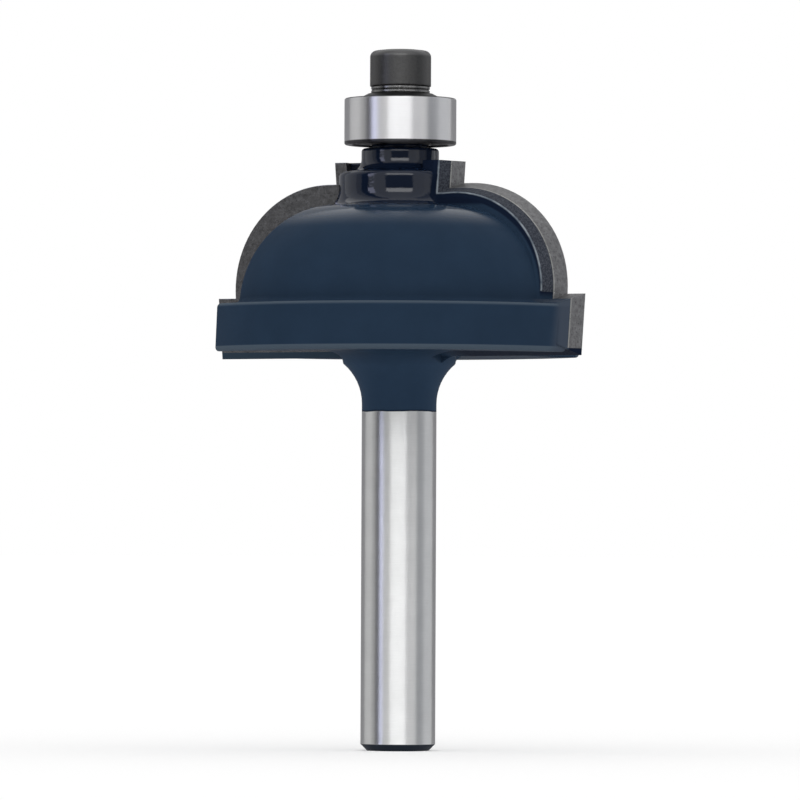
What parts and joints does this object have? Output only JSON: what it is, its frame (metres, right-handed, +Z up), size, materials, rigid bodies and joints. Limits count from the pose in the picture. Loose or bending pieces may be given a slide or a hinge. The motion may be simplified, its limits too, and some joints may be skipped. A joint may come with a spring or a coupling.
{
  "type": "router bit",
  "caption": "Piloted cove-profile router bit: carbide-tipped wings with a domed profile over a wide rim, a ball-bearing guide clamped by a socket screw, and a straight collet shank.",
  "frame": {"origin": "centre of the shank's end face", "axes": "+Z up the bit's axis, from the shank towards the pilot bearing; +X and +Y across it, with the first cutting edge 26.5 degrees short of +X"},
  "size_m": [0.0312, 0.0346, 0.0596],
  "materials": {
    "cutter_steel": "navy paint on the head and its flare, ground bare steel on the shank",
    "carbide": "ground tungsten carbide",
    "braze": "silver brazing filler",
    "bearing_steel": "fine ground chromium steel",
    "ball_steel": "polished balls",
    "cage_steel": "pressed steel",
    "shield_steel": "pressed sheet steel",
    "snap_ring_steel": "drawn spring wire",
    "dark_steel": "black oxide on steel",
    "washer_steel": "dark zinc on steel",
    "black_oxide": "black oxide on alloy steel"
  },
  "bodies": {
    "bit": {"cutter_body": "cutter_steel", "carbide_tip_1": "carbide", "carbide_tip_2": "carbide", "braze_layer_1": "braze", "braze_layer_2": "braze", "bearing_inner_ring": "bearing_steel", "dust_cap": "dark_steel", "flat_washer": "washer_steel", "spring_washer": "washer_steel", "cap_screw": "black_oxide"},
    "bearing_shell": {"bearing_outer_ring": "bearing_steel", "bearing_shield_upper": "shield_steel", "bearing_shield_lower": "shield_steel", "shield_snap_ring_upper": "snap_ring_steel", "shield_snap_ring_lower": "snap_ring_steel"},
    "ball_set": {"bearing_cage": "cage_steel", "bearing_ball_1": "ball_steel", "bearing_ball_2": "ball_steel", "bearing_ball_3": "ball_steel", "bearing_ball_4": "ball_steel", "bearing_ball_5": "ball_steel", "bearing_ball_6": "ball_steel", "bearing_ball_7": "ball_steel"}
  },
  "joints": [
    {"name": "bearing_spin", "type": "hinge", "parent": "bit", "child": "bearing_shell", "pos_m": [0, 0, 0.05343], "axis": [0, 0, 1], "continuous": true},
    {"name": "cage_spin", "type": "hinge", "parent": "bit", "child": "ball_set", "pos_m": [0, 0, 0.05343], "axis": [0, 0, 1], "continuous": true}
  ],
  "couplings": [
    {"joint": "cage_spin", "follows": "bearing_spin", "ratio": 0.625}
  ]
}
